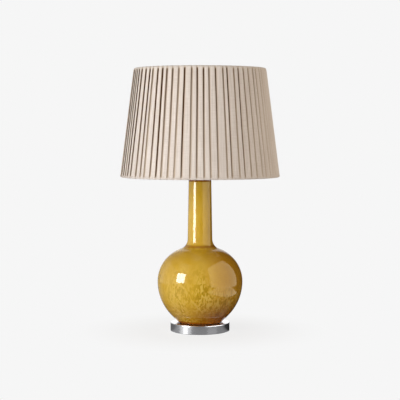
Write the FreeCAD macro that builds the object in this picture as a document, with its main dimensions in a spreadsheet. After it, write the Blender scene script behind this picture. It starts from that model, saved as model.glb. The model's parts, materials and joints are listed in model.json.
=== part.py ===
"""Bottle-shaped ceramic table lamp with a knife-pleated empire shade, in millimetres.

The lamp stands on its foot pad at z = 0, with +Z up its stem and its back, where the flex enters, towards +Y.
A hollow threaded stem clamps everything below the lampholder: base nut, cast weight, chromed cap, jar, neck cap
and neck nut. The lampholder screws on to the stem's top end. It holds the lamp bulb, and its flange carries the
shade's fitter ring, which the threaded shade ring holds down.
"""
import FreeCAD
import Part
import Sketcher

import math
import os

PARTS_FOLDER = "parts"

# Name, value and meaning of every size. Heights called "...Height" are above the table.
SIZES = (
    # base
    ("padRadius", 63.5, "felt foot pad"),
    ("padThickness", 1.5, "felt foot pad"),
    ("boardThickness", 1.5, "board that closes the base"),
    ("discRadius", 66.0, "outside of the chromed base cap"),
    ("discTall", 18.5, "base cap, from its rim to its top"),
    ("discWall", 1.5, "sheet of the base cap"),
    ("discEdge", 1.0, "rounding of the base cap's top edge"),
    ("rimLift", 1.0, "the base cap's rim is this far above the table"),
    ("recessRadius", 15.5, "nut recess under the weight"),
    ("recessDepth", 7.0, "nut recess under the weight"),
    ("slotWidth", 10.0, "flex channel under the weight"),
    ("slotDepth", 12.0, "flex channel under the weight"),
    ("inletHeight", 10.0, "centre of the flex inlet"),
    ("inletBore", 3.3, "radius of the inlet bush's bore"),
    ("inletWall", 1.3, "wall of the inlet bush"),
    ("inletLength", 9.0, "inlet bush, inside the base cap's outer face"),
    ("inletFlange", 1.9, "the inlet bush's flange stands out by this round its barrel"),
    ("inletFlangeThickness", 1.2, "flange of the inlet bush"),
    # stem and its fixings
    ("stemRadius", 5.0, "threaded stem"),
    ("stemBore", 3.5, "radius of the stem's bore"),
    ("stemBelowNut", 0.5, "the stem stands out below the base nut"),
    ("stemInHolder", 8.0, "length of stem screwed into the lampholder"),
    ("nutFlats", 14.0, "stem nuts across flats"),
    ("nutThickness", 4.0, "stem nuts"),
    ("washerRadius", 13.0, "steel washer above the base nut"),
    ("washerThickness", 1.5, "steel washer above the base nut"),
    # jar
    ("seatRadius", 44.0, "rubber seat ring under the jar"),
    ("seatThickness", 1.0, "rubber seat ring under the jar"),
    ("jarHeight", 317.5, "jar, from its foot to its lip"),
    ("jarHole", 6.5, "radius of the stem hole in the jar's floor"),
    ("jarFloor", 6.0, "thickness of the jar's floor"),
    ("jarWall", 5.0, "thickness of the belly"),
    ("bellyRadius", 95.0, "widest radius of the belly"),
    ("bellyRise", 91.0, "height of the belly's widest circle above the foot"),
    ("lowerArc", 108.3, "radius of the belly's outline below its widest circle"),
    ("shoulderArc", 76.3, "radius of the belly's outline above its widest circle"),
    ("footCone", 15.0, "height of the straight flare between the foot and the belly's lower arc"),
    ("footRounding", 3.0, "rounding of the foot"),
    ("neckRootRadius", 27.6, "neck where it leaves the shoulder"),
    ("neckTopRadius", 25.3, "neck at the lip"),
    ("neckWall", 4.5, "thickness of the neck"),
    ("neckFillet", 24.0, "outside sweep from neck to shoulder"),
    ("neckInnerFillet", 8.0, "inside sweep from neck to shoulder"),
    ("lipRounding", 1.8, "rounding of the lip"),
    # neck cap
    ("capGasketThickness", 1.0, "rubber ring under the neck cap"),
    ("capRadius", 23.0, "neck cap"),
    ("capEdge", 1.2, "neck cap at its edge"),
    ("capDome", 1.4, "the neck cap's flat top is this far above its edge"),
    ("capFlatRadius", 11.0, "flat top of the neck cap"),
    ("collarDepth", 8.0, "centring collar inside the neck"),
    ("collarWall", 1.2, "centring collar inside the neck"),
    # lampholder
    ("holderFootRadius", 11.5, "lower end of the lampholder's body"),
    ("holderRadius", 18.8, "lampholder's body at its joint with the skirt"),
    ("holderFlare", 10.0, "height over which the lampholder's body widens"),
    ("holderWall", 2.0, "lampholder's body"),
    ("holderTall", 21.0, "lampholder's body"),
    ("bossDepth", 9.5, "threaded boss inside the lampholder's body"),
    ("bossWall", 2.2, "threaded boss inside the lampholder's body"),
    ("barRise", 14.2, "centre of the push bar above the lampholder's foot"),
    ("barRadius", 2.4, "push bar"),
    ("barLength", 47.0, "push bar"),
    ("barTravel", 5.0, "push bar, from off to on"),
    ("insertThickness", 5.0, "ceramic insert"),
    ("insertLedge", 1.6, "the insert's top stands inside the skirt by this"),
    ("skirtTall", 28.0, "skirt with the shade ring's thread"),
    ("threadRadius", 19.4, "shade ring's thread"),
    ("skirtLeadIn", 2.2, "chamfer in the skirt's mouth"),
    ("flangeRise", 7.0, "shade flange above the skirt's lower end"),
    ("flangeThickness", 2.5, "shade flange"),
    ("flangeRadius", 25.0, "shade flange"),
    ("shellRadius", 14.0, "outside of the screw shell"),
    ("shellThickness", 0.5, "screw shell"),
    ("shellTall", 22.5, "screw shell"),
    ("contactWidth", 5.0, "centre contact leaf"),
    ("contactThickness", 0.6, "centre contact leaf"),
    ("contactLift", 1.2, "rise of the centre contact leaf"),
    ("terminalRadius", 2.2, "terminal posts"),
    ("terminalTall", 4.0, "terminal posts"),
    ("terminalSpread", 9.0, "terminal posts, from the axis"),
    ("shadeRingTall", 8.0, "shade ring"),
    ("shadeRingWall", 4.8, "shade ring"),
    ("gripRadius", 1.1, "grip flutes of the shade ring"),
    # bulb
    ("bulbTipRadius", 4.8, "contact button"),
    ("bulbTipTall", 1.5, "contact button"),
    ("insulatorTall", 3.5, "glass insulator"),
    ("screwRadius", 13.1, "screw cap over its thread"),
    ("screwTall", 18.7, "screw cap"),
    ("screwSheet", 0.4, "screw cap"),
    ("bulbNeckRadius", 13.4, "bulb glass at the cap"),
    ("globeRadius", 30.0, "bulb glass at its widest"),
    ("globeTangent", 28.2, "radius where the ball meets the cone"),
    ("globeGlass", 1.0, "thickness of the bulb glass"),
    ("bulbTall", 106.0, "bulb from contact to crown"),
    ("mountRadius", 4.0, "glass mount inside the bulb"),
    ("mountTall", 34.0, "glass mount inside the bulb"),
    ("filamentRadius", 0.9, "filament rods"),
    ("filamentTall", 26.0, "filament rods"),
    # shade
    ("shadeLift", 6.0, "shade's lower edge above the lip of the jar"),
    ("shadeTall", 241.0, "shade"),
    ("shadeBottomRadius", 178.0, "outside of the pleats at the lower edge"),
    ("shadeTopRadius", 147.2, "outside of the pleats at the upper edge"),
    ("pleatDepth", 3.0, "thickness of the pleated fabric"),
    ("hemThickness", 1.2, "fabric turned in under a ring"),
    ("hemWidth", 5.0, "fabric turned in under a ring"),
    ("hemRounding", 2.0, "rounding of the fabric where it rolls over a ring"),
    ("ringWire", 2.0, "radius of the ring wire"),
    ("strutWire", 1.5, "radius of the strut wire"),
    ("armWire", 2.0, "radius of the fitter arms"),
    ("liningThickness", 0.4, "lining"),
    ("notchWidth", 8.0, "notch in the lining at an arm"),
    ("notchTall", 6.0, "notch in the lining at an arm"),
    ("fitterRadius", 28.0, "outside of the fitter ring"),
    ("fitterThickness", 1.5, "fitter ring"),
    # clearances
    ("looseFit", 0.3, "gap round pieces that move or drop in"),
    ("closeFit", 0.1, "gap between fixed pieces"),
)

STRUTS = 6
ARMS = 3
GRIPS = 24
FILAMENTS = 4
FULL_TURN = 360.0
ARM_ANGLE = 90.0  # the first arm points to the back


class Size:
    """A length that knows its value and the expression that gives it from the sheet's cells."""

    def __init__(self, text, value):
        self.text = text
        self.value = value

    @staticmethod
    def of(number):
        if isinstance(number, Size):
            return number
        return Size(repr(float(number)), float(number))

    def __add__(self, other):
        other = Size.of(other)
        return Size(f"({self.text} + {other.text})", self.value + other.value)

    def __sub__(self, other):
        other = Size.of(other)
        return Size(f"({self.text} - {other.text})", self.value - other.value)

    def __mul__(self, other):
        other = Size.of(other)
        return Size(f"({self.text} * {other.text})", self.value * other.value)

    def __truediv__(self, other):
        other = Size.of(other)
        return Size(f"({self.text} / {other.text})", self.value / other.value)

    def __neg__(self):
        return Size(f"(0 - {self.text})", -self.value)

    def legOf(self, hypotenuse):
        """The other leg of a right triangle that has this leg and that hypotenuse."""
        square = hypotenuse * hypotenuse - self * self
        return Size(f"sqrt({square.text})", math.sqrt(square.value))


class Sheet:
    """The document's spreadsheet. Each of its sizes is read as an attribute."""

    def __init__(self, document):
        cells = document.addObject("Spreadsheet::Sheet", "Sizes")
        self.values = {}
        for row, (name, value, meaning) in enumerate(SIZES, 1):
            cells.set(f"A{row}", name)
            cells.set(f"B{row}", str(value))
            cells.set(f"C{row}", meaning)
            cells.setAlias(f"B{row}", name)
            self.values[name] = value

    def __getattr__(self, name):
        return Size(f"Sizes.{name}", self.values[name])


class Round:
    """An arc of a given radius to the next corner. It bulges to the left or the right of that way."""

    def __init__(self, radius, side="right"):
        self.radius = radius
        self.side = side


doc = FreeCAD.newDocument("TableLamp")
s = Sheet(doc)
doc.recompute()

nodes = []
cuts = []


# ---------------------------------------------------------------- helpers


def datum(body, role):
    """One of the body's own origin planes or axes."""
    return next(o for o in body.Origin.OriginFeatures if o.Role == role)


def newBody(label):
    body = doc.addObject("PartDesign::Body", label)
    body.Label = label
    nodes.append(body)
    return body


def newSketch(body, role, offset=None):
    """An empty sketch on one of the body's origin planes, moved along the plane's normal by offset."""
    sketch = body.newObject("Sketcher::SketchObject", f"{body.Name}Sketch")
    sketch.AttachmentSupport = [(datum(body, role), "")]
    sketch.MapMode = "FlatFace"
    if offset is not None:
        sketch.setExpression("AttachmentOffset.Base.z", offset.text)
    return sketch


def pin(sketch, geometry, point, corner):
    """Holds one point of a sketch's geometry at a corner given by two sizes."""
    for kind, size in zip(("DistanceX", "DistanceY"), corner):
        size = Size.of(size)
        index = sketch.addConstraint(Sketcher.Constraint(kind, -1, 1, geometry, point, size.value))
        if "Sizes" in size.text:
            sketch.setExpression(f"Constraints[{index}]", size.text)


def bindRadius(sketch, geometry, size):
    index = sketch.addConstraint(Sketcher.Constraint("Radius", geometry, size.value))
    sketch.setExpression(f"Constraints[{index}]", size.text)


def arcBetween(start, end, radius, side):
    """The arc from start to end, and the numbers of its points at start and end."""
    chord = end - start
    middle = (start + end) * 0.5
    across = FreeCAD.Vector(-chord.y, chord.x, 0).normalize()
    if side == "left":
        across = -across
    reach = math.sqrt(max(radius**2 - (chord.Length / 2) ** 2, 0.0))
    centre = middle + across * reach
    angles = [math.atan2(p.y - centre.y, p.x - centre.x) for p in (start, end)]
    points = (1, 2)
    if side == "left":
        angles.reverse()
        points = (2, 1)
    if angles[1] < angles[0]:
        angles[1] += 2 * math.pi
    circle = Part.Circle(centre, FreeCAD.Vector(0, 0, 1), radius)
    return Part.ArcOfCircle(circle, angles[0], angles[1]), points


def draw(sketch, outline):
    """Draws a closed outline of corners. A Round between two corners makes that side an arc."""
    corners = [c for c in outline if not isinstance(c, Round)]
    rounds = {}
    seen = 0
    for item in outline:
        if isinstance(item, Round):
            rounds[seen - 1] = item
        else:
            seen += 1
    places = [FreeCAD.Vector(Size.of(x).value, Size.of(y).value, 0) for x, y in corners]
    for index, corner in enumerate(corners):
        following = (index + 1) % len(corners)
        start, end = places[index], places[following]
        bend = rounds.get(index)
        if bend is None:
            geometry = sketch.addGeometry(Part.LineSegment(start, end), False)
            points = (1, 2)
        else:
            arc, points = arcBetween(start, end, bend.radius.value, bend.side)
            geometry = sketch.addGeometry(arc, False)
            bindRadius(sketch, geometry, bend.radius)
        pin(sketch, geometry, points[0], corner)
        pin(sketch, geometry, points[1], corners[following])


def drawCircle(sketch, centre, radius):
    place = FreeCAD.Vector(Size.of(centre[0]).value, Size.of(centre[1]).value, 0)
    circle = Part.Circle(place, FreeCAD.Vector(0, 0, 1), radius.value)
    geometry = sketch.addGeometry(circle, False)
    pin(sketch, geometry, 3, centre)
    bindRadius(sketch, geometry, radius)


def turned(label, outline):
    """A piece turned about the lamp's axis. Its outline is in radius and height."""
    body = newBody(label)
    sketch = newSketch(body, "XZ_Plane")
    draw(sketch, outline)
    turn = body.newObject("PartDesign::Revolution", f"{label}_turn")
    turn.Profile = sketch
    turn.ReferenceAxis = (sketch, ["V_Axis"])
    turn.Angle = FULL_TURN
    return body


def tube(label, inner, outer, bottom, top):
    """A ring or tube of rectangular section."""
    return turned(label, [(inner, bottom), (outer, bottom), (outer, top), (inner, top)])


def pocket(body, sketch, depth, bothWays=False, backwards=False):
    """Cuts a sketch into a body."""
    cut = body.newObject("PartDesign::Pocket", f"{body.Name}_pocket")
    cut.Profile = sketch
    cut.Midplane = bothWays
    cut.Reversed = backwards
    cut.setExpression("Length", depth.text)
    cuts.append(cut)
    return cut


def rounded(body, radius, *rings):
    """Rounds the circular edges that lie at the given radii and heights."""
    doc.recompute()
    names = []
    for ringRadius, height in rings:
        for number, edge in enumerate(body.Shape.Edges, 1):
            curve = edge.Curve
            if not isinstance(curve, Part.Circle):
                continue
            if abs(curve.Radius - ringRadius.value) < 1e-4 and abs(curve.Center.z - height.value) < 1e-4:
                names.append(f"Edge{number}")
    if len(names) != len(rings):
        raise ValueError(f"{body.Label}: found {names} for {len(rings)} edges")
    fillet = body.newObject("PartDesign::Fillet", f"{body.Name}_round")
    fillet.Base = (fillet.BaseFeature, names)
    fillet.setExpression("Radius", radius.text)
    return fillet


def around(body, feature, count):
    """Repeats a feature evenly about the lamp's axis."""
    pattern = body.newObject("PartDesign::PolarPattern", f"{body.Name}_pattern")
    pattern.Originals = [feature]
    pattern.Axis = (datum(body, "Z_Axis"), [""])
    pattern.Angle = FULL_TURN
    pattern.Occurrences = count
    body.Tip = pattern
    return pattern


def wire(label, role, ends, radius, angle):
    """A straight wire between two round sections that lie parallel to an origin plane, turned to its angle.

    ends are two pairs: the section's distance from the plane, and its centre on the plane."""
    body = newBody(label)
    sections = []
    for offset, centre in ends:
        section = newSketch(body, role, offset)
        drawCircle(section, centre, radius)
        sections.append(section)
    loft = body.newObject("PartDesign::AdditiveLoft", f"{label}_wire")
    loft.Profile = sections[0]
    loft.Sections = sections[1:]
    loft.Ruled = True
    body.Placement = FreeCAD.Placement(
        FreeCAD.Vector(0, 0, 0), FreeCAD.Rotation(FreeCAD.Vector(0, 0, 1), angle)
    )
    return body


def hexNut(label, bottom):
    """A stem nut with its lower face at the given height."""
    body = newBody(label)
    sketch = newSketch(body, "XY_Plane", bottom)
    corner = s.nutFlats / math.sqrt(3)
    angles = [math.radians(60 * side) for side in range(6)]
    draw(sketch, [(corner * math.cos(a), corner * math.sin(a)) for a in angles])
    drawCircle(sketch, (0, 0), s.stemRadius + s.closeFit)
    pad = body.newObject("PartDesign::Pad", f"{label}_pad")
    pad.Profile = sketch
    pad.setExpression("Length", s.nutThickness.text)
    return body


# ---------------------------------------------------------------- heights and radii that pieces share

boardTop = s.padThickness + s.boardThickness
discTop = s.rimLift + s.discTall
discUnder = discTop - s.discWall
capInside = s.discRadius - s.discWall
weightBottom = boardTop + s.closeFit
recessTop = weightBottom + s.recessDepth
washerBottom = recessTop - s.washerThickness
baseNutBottom = washerBottom - s.nutThickness
stemHole = s.stemRadius + s.looseFit
inletBarrel = s.inletBore + s.inletWall

jarFoot = discTop + s.seatThickness
bellyHeight = jarFoot + s.bellyRise
jarTop = jarFoot + s.jarHeight
neckCapUnder = jarTop + s.capGasketThickness
neckCapTop = neckCapUnder + s.capEdge + s.capDome
neckBore = s.neckTopRadius - s.neckWall
holderFoot = neckCapTop + s.nutThickness
stemBottom = baseNutBottom - s.stemBelowNut
stemTop = holderFoot + s.stemInHolder

barHeight = holderFoot + s.barRise
holderTop = holderFoot + s.holderTall
insertTop = holderTop + s.insertLedge
insertBottom = insertTop - s.insertThickness
skirtBore = s.shellRadius + s.looseFit
skirtTop = holderTop + s.skirtTall
flangeBottom = holderTop + s.flangeRise
flangeTop = flangeBottom + s.flangeThickness
fitterBottom = flangeTop + s.looseFit
fitterTop = fitterBottom + s.fitterThickness
shadeRingBottom = fitterTop + s.looseFit
ringBore = s.threadRadius + s.closeFit

contactTop = insertTop + s.closeFit + s.contactLift + s.contactThickness
bulbBottom = contactTop + s.closeFit
insulatorBottom = bulbBottom + s.bulbTipTall
screwBottom = insulatorBottom + s.insulatorTall
screwTop = screwBottom + s.screwTall
globeCentre = bulbBottom + s.bulbTall - s.globeRadius

shadeBottom = jarTop + s.shadeLift
shadeTop = shadeBottom + s.shadeTall
ringInset = s.hemThickness + s.ringWire + s.closeFit
bottomRingHeight = shadeBottom + ringInset
topRingHeight = shadeTop - ringInset
shadeTaper = (s.shadeBottomRadius - s.shadeTopRadius) / s.shadeTall


def pleatRadius(height):
    """Outside radius of the pleated fabric at a height."""
    return s.shadeBottomRadius - shadeTaper * (height - shadeBottom)


def ringRadius(height):
    """Radius of the centre line of a wire ring that lies inside the fabric at a height."""
    return pleatRadius(height) - s.pleatDepth - s.ringWire - s.closeFit


# ---------------------------------------------------------------- base


def makeBase():
    turned("foot_pad", [(0, 0), (s.padRadius, 0), (s.padRadius, s.padThickness), (0, s.padThickness)])
    boardRadius = capInside - s.looseFit
    turned(
        "base_board",
        [(0, s.padThickness), (boardRadius, s.padThickness), (boardRadius, boardTop), (0, boardTop)],
    )
    makeWeight()
    makeBaseCap()
    makeInlet()
    tube("base_washer", s.stemRadius + s.closeFit, s.washerRadius, washerBottom, recessTop)
    hexNut("base_nut", baseNutBottom)


def makeWeight():
    """Cast slug inside the base cap, with a nut recess and a channel for the flex to the back."""
    outer = capInside - s.looseFit
    top = discUnder - s.closeFit
    body = turned(
        "base_weight",
        [
            (stemHole, recessTop),
            (s.recessRadius, recessTop),
            (s.recessRadius, weightBottom),
            (outer, weightBottom),
            (outer, top),
            (stemHole, top),
        ],
    )
    channel = newSketch(body, "XZ_Plane")
    half = s.slotWidth / 2
    below = weightBottom - 1
    above = weightBottom + s.slotDepth
    draw(channel, [(-half, below), (half, below), (half, above), (-half, above)])
    pocket(body, channel, s.discRadius)


def makeBaseCap():
    """Spun and chromed cap, with a hole at the back for the inlet bush."""
    body = turned(
        "base_cap",
        [
            (capInside, s.rimLift),
            (s.discRadius, s.rimLift),
            (s.discRadius, discTop),
            (stemHole, discTop),
            (stemHole, discUnder),
            (capInside, discUnder),
        ],
    )
    rounded(body, s.discEdge, (s.discRadius, discTop))
    hole = newSketch(body, "XZ_Plane")
    drawCircle(hole, (0, s.inletHeight), inletBarrel + s.closeFit)
    pocket(body, hole, s.discRadius + s.discWall)


def makeInlet():
    """Flanged bush that lines the flex hole, turned and then laid along +Y."""
    flange = inletBarrel + s.inletFlange
    body = turned(
        "inlet_bush",
        [
            (s.inletBore, -s.inletLength),
            (inletBarrel, -s.inletLength),
            (inletBarrel, 0),
            (flange, 0),
            (flange, s.inletFlangeThickness),
            (s.inletBore, s.inletFlangeThickness),
        ],
    )
    body.Placement = FreeCAD.Placement(
        FreeCAD.Vector(0, s.discRadius.value, s.inletHeight.value),
        FreeCAD.Rotation(FreeCAD.Vector(1, 0, 0), -90),
    )
    body.setExpression("Placement.Base.y", s.discRadius.text)
    body.setExpression("Placement.Base.z", s.inletHeight.text)


# ---------------------------------------------------------------- stem, jar and neck


def makeStem():
    tube("stem_tube", s.stemBore, s.stemRadius, stemBottom, stemTop)
    tube("seat_ring", s.jarHole, s.seatRadius, discTop, jarFoot)
    tube("neck_gasket", neckBore, s.capRadius, jarTop, neckCapUnder)
    hexNut("neck_nut", neckCapTop)


def makeJar():
    """Hollow slip-cast bottle: a flared foot, a belly of two arcs that meet at its widest circle, and a neck."""
    lowerCentre = s.bellyRadius - s.lowerArc
    shoulderCentre = s.bellyRadius - s.shoulderArc
    floor = jarFoot + s.jarFloor
    coneTop = jarFoot + s.footCone
    coneRise = bellyHeight - coneTop
    coneReach = coneRise.legOf(s.lowerArc)
    coneRadius = lowerCentre + coneReach
    footRadius = coneRadius - s.footCone * coneRise / coneReach
    floorRadius = lowerCentre + (bellyHeight - floor).legOf(s.lowerArc - s.jarWall)
    neckRoot = bellyHeight + (s.neckRootRadius - shoulderCentre).legOf(s.shoulderArc)
    boreRoot = s.neckRootRadius - s.neckWall
    boreRootHeight = bellyHeight + (boreRoot - shoulderCentre).legOf(s.shoulderArc - s.jarWall)
    bellyInside = s.bellyRadius - s.jarWall
    body = turned(
        "jar",
        [
            (s.jarHole, jarFoot),
            (footRadius, jarFoot),
            (coneRadius, coneTop),
            Round(s.lowerArc),
            (s.bellyRadius, bellyHeight),
            Round(s.shoulderArc),
            (s.neckRootRadius, neckRoot),
            (s.neckTopRadius, jarTop),
            (neckBore, jarTop),
            (boreRoot, boreRootHeight),
            Round(s.shoulderArc - s.jarWall, "left"),
            (bellyInside, bellyHeight),
            Round(s.lowerArc - s.jarWall, "left"),
            (floorRadius, floor),
            (s.jarHole, floor),
        ],
    )
    rounded(body, s.neckFillet, (s.neckRootRadius, neckRoot))
    rounded(body, s.neckInnerFillet, (boreRoot, boreRootHeight))
    rounded(body, s.footRounding, (footRadius, jarFoot))
    rounded(body, s.lipRounding, (s.neckTopRadius, jarTop))


def makeNeckCap():
    """Spun cap with a collar that centres it in the neck."""
    collar = neckBore - s.looseFit
    turned(
        "neck_cap",
        [
            (stemHole, neckCapUnder),
            (collar - s.collarWall, neckCapUnder),
            (collar - s.collarWall, neckCapUnder - s.collarDepth),
            (collar, neckCapUnder - s.collarDepth),
            (collar, neckCapUnder),
            (s.capRadius, neckCapUnder),
            (s.capRadius, neckCapUnder + s.capEdge),
            (s.capFlatRadius, neckCapTop),
            (stemHole, neckCapTop),
        ],
    )


# ---------------------------------------------------------------- lampholder


def makeHolderBody():
    """Lower body: a flared cup with a threaded boss for the stem, and holes for the push bar."""
    boss = s.stemRadius + s.closeFit
    bossOuter = boss + s.bossWall
    bossTop = holderFoot + s.bossDepth
    flareTop = holderFoot + s.holderFlare
    floorTop = holderFoot + s.holderWall
    body = turned(
        "holder_body",
        [
            (boss, holderFoot),
            (s.holderFootRadius, holderFoot),
            (s.holderRadius, flareTop),
            (s.holderRadius, holderTop),
            (s.holderRadius - s.holderWall, holderTop),
            (s.holderRadius - s.holderWall, flareTop + s.holderWall / 2),
            (s.holderFootRadius - s.holderWall / 2, floorTop),
            (bossOuter, floorTop),
            (bossOuter, bossTop),
            (boss, bossTop),
        ],
    )
    holes = newSketch(body, "YZ_Plane")
    drawCircle(holes, (0, barHeight), s.barRadius + s.looseFit)
    pocket(body, holes, s.holderRadius * 3, bothWays=True)


def makeSkirt():
    """Upper body: the shade ring's thread, the flange that carries the shade, and the bulb's mouth."""
    turned(
        "holder_skirt",
        [
            (skirtBore, insertTop + s.closeFit),
            (s.holderRadius - s.holderWall, insertTop + s.closeFit),
            (s.holderRadius - s.holderWall, holderTop),
            (s.threadRadius, holderTop),
            (s.threadRadius, flangeBottom),
            (s.flangeRadius, flangeBottom),
            (s.flangeRadius, flangeTop),
            (s.threadRadius, flangeTop),
            (s.threadRadius, skirtTop),
            (skirtBore + s.skirtLeadIn, skirtTop),
            (skirtBore, skirtTop - s.skirtLeadIn),
        ],
    )


def makeContacts():
    """Insert, screw shell, centre leaf and the two terminal posts under the insert."""
    insertRadius = s.holderRadius - s.holderWall - s.closeFit
    turned(
        "holder_insert",
        [(0, insertBottom), (insertRadius, insertBottom), (insertRadius, insertTop), (0, insertTop)],
    )
    shellBottom = insertTop + s.closeFit
    shellBore = s.shellRadius - s.shellThickness
    tube("screw_shell", shellBore, s.shellRadius, shellBottom, shellBottom + s.shellTall)
    leaf = newBody("centre_contact")
    side = newSketch(leaf, "XZ_Plane")
    root = -(s.contactWidth * 2)
    bend = -s.contactWidth
    tip = s.bulbTipRadius / 2
    low = insertTop + s.closeFit
    high = low + s.contactLift
    draw(
        side,
        [
            (root, low),
            (bend, low),
            (0, high),
            (tip, high),
            (tip, high + s.contactThickness),
            (0, high + s.contactThickness),
            (bend, low + s.contactThickness),
            (root, low + s.contactThickness),
        ],
    )
    pad = leaf.newObject("PartDesign::Pad", "centre_contact_pad")
    pad.Profile = side
    pad.Midplane = True
    pad.setExpression("Length", s.contactWidth.text)
    posts = []
    for side in (-1, 1):
        post = doc.addObject("Part::Cylinder", "terminal_post")
        post.setExpression("Radius", s.terminalRadius.text)
        post.setExpression("Height", s.terminalTall.text)
        post.setExpression("Placement.Base.y", (s.terminalSpread * side).text)
        post.setExpression("Placement.Base.z", (insertBottom - s.terminalTall).text)
        posts.append(post)
    gather("terminal_posts", posts)


def gather(label, pieces):
    """One node of several separate solids."""
    group = doc.addObject("Part::Compound", label)
    group.Label = label
    group.Links = pieces
    nodes.append(group)
    return group


def makeShadeRing():
    """Threaded ring with grip flutes that holds the shade down on the flange."""
    outer = ringBore + s.shadeRingWall
    body = tube("shade_ring", ringBore, outer, shadeRingBottom, shadeRingBottom + s.shadeRingTall)
    flute = newSketch(body, "XY_Plane", shadeRingBottom)
    drawCircle(flute, (outer + s.gripRadius / 3, 0), s.gripRadius)
    first = pocket(body, flute, s.shadeRingTall, backwards=True)
    around(body, first, GRIPS)


def makePushBar():
    """Bar that runs through the holder's body; pressed at either end, it slides through."""
    half = s.barLength / 2
    nose = s.barRadius / 2
    waist = s.barRadius - s.barRadius / 4
    body = turned(
        "push_bar",
        [
            (0, -half),
            (nose, -half),
            Round(nose),
            (s.barRadius, nose - half),
            (s.barRadius, -s.barTravel),
            (waist, -s.barTravel),
            (waist, s.barTravel),
            (s.barRadius, s.barTravel),
            (s.barRadius, half - nose),
            Round(nose),
            (nose, half),
            (0, half),
        ],
    )
    offset = -(s.barTravel / 2)
    body.Placement = FreeCAD.Placement(
        FreeCAD.Vector(offset.value, 0, barHeight.value),
        FreeCAD.Rotation(FreeCAD.Vector(0, 1, 0), 90),
    )
    body.setExpression("Placement.Base.x", offset.text)
    body.setExpression("Placement.Base.z", barHeight.text)


# ---------------------------------------------------------------- bulb


def makeBulb():
    turned(
        "bulb_contact",
        [
            (0, bulbBottom),
            (s.bulbTipRadius, bulbBottom),
            (s.bulbTipRadius, insulatorBottom),
            (0, insulatorBottom),
        ],
    )
    neck = s.screwRadius - s.screwSheet - s.closeFit
    turned(
        "bulb_insulator",
        [(0, insulatorBottom), (s.bulbTipRadius, insulatorBottom), (neck, screwBottom), (0, screwBottom)],
    )
    tube("bulb_screw_cap", s.screwRadius - s.screwSheet, s.screwRadius, screwBottom, screwTop)
    crown = globeCentre + s.globeRadius
    tangentHeight = globeCentre - s.globeTangent.legOf(s.globeRadius)
    innerTangent = s.globeTangent - s.globeGlass
    innerHeight = globeCentre - innerTangent.legOf(s.globeRadius - s.globeGlass)
    throat = screwTop + s.globeGlass * 2
    turned(
        "bulb_glass",
        [
            (s.bulbNeckRadius - s.globeGlass, screwTop),
            (s.bulbNeckRadius, screwTop),
            (s.bulbNeckRadius, throat),
            (s.globeTangent, tangentHeight),
            Round(s.globeRadius),
            (0, crown),
            (0, crown - s.globeGlass),
            Round(s.globeRadius - s.globeGlass, "left"),
            (innerTangent, innerHeight),
            (s.bulbNeckRadius - s.globeGlass, throat),
        ],
    )
    makeFilament()


def makeFilament():
    """Glass mount that stands on the insulator, and the rods round its upper end."""
    mountTop = screwBottom + s.mountTall
    mountFoot = s.screwRadius - s.screwSheet - s.looseFit
    turned(
        "bulb_mount",
        [
            (0, screwBottom),
            (mountFoot, screwBottom),
            (s.mountRadius, screwTop),
            (s.mountRadius, mountTop),
            (0, mountTop),
        ],
    )
    rods = []
    reach = s.mountRadius + s.filamentRadius + s.closeFit
    for index in range(FILAMENTS):
        angle = 2 * math.pi * index / FILAMENTS
        rod = doc.addObject("Part::Cylinder", "filament_rod")
        rod.setExpression("Radius", s.filamentRadius.text)
        rod.setExpression("Height", s.filamentTall.text)
        rod.setExpression("Placement.Base.x", (reach * math.cos(angle)).text)
        rod.setExpression("Placement.Base.y", (reach * math.sin(angle)).text)
        rod.setExpression("Placement.Base.z", (mountTop - s.filamentTall / 4).text)
        rods.append(rod)
    gather("bulb_filaments", rods)


# ---------------------------------------------------------------- shade


def makeShadeFrame():
    for label, height in (("shade_bottom_ring", bottomRingHeight), ("shade_top_ring", topRingHeight)):
        ring = doc.addObject("Part::Torus", label)
        ring.Label = label
        ring.setExpression("Radius1", ringRadius(height).text)
        ring.setExpression("Radius2", s.ringWire.text)
        ring.setExpression("Placement.Base.z", height.text)
        nodes.append(ring)
    gap = s.ringWire + s.closeFit
    low = bottomRingHeight + gap
    high = topRingHeight - gap
    for index in range(STRUTS):
        angle = ARM_ANGLE + FULL_TURN / STRUTS * (index + 0.5)
        ends = [(low, (ringRadius(low), 0)), (high, (ringRadius(high), 0))]
        wire(f"shade_strut_{index + 1}", "XY_Plane", ends, s.strutWire, angle)


def makeFitter():
    """Fitter ring and its arms, which rise from the bottom ring to it."""
    tube("fitter_ring", ringBore + s.looseFit, s.fitterRadius, fitterBottom, fitterTop)
    inner = s.fitterRadius + s.closeFit
    outer = ringRadius(bottomRingHeight) - s.ringWire - s.closeFit
    middle = fitterBottom + s.fitterThickness / 2
    for index in range(ARMS):
        angle = ARM_ANGLE + FULL_TURN / ARMS * index
        ends = [(inner, (0, middle)), (outer, (0, bottomRingHeight))]
        wire(f"shade_arm_{index + 1}", "YZ_Plane", ends, s.armWire, angle)


def makeLining():
    """Plain lining inside the wires, notched round each arm."""
    inset = s.ringWire + s.closeFit
    bottom = shadeBottom + s.hemThickness + s.closeFit
    top = shadeTop - s.hemThickness - s.closeFit
    low = ringRadius(bottom) - inset
    high = ringRadius(top) - inset
    body = turned(
        "shade_lining",
        [(low - s.liningThickness, bottom), (low, bottom), (high, top), (high - s.liningThickness, top)],
    )
    notch = newSketch(body, "XZ_Plane")
    half = s.notchWidth / 2
    notchTop = bottom + s.notchTall
    draw(notch, [(-half, bottom - 1), (half, bottom - 1), (half, notchTop), (-half, notchTop)])
    first = pocket(body, notch, s.shadeBottomRadius)
    around(body, first, ARMS)


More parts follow.
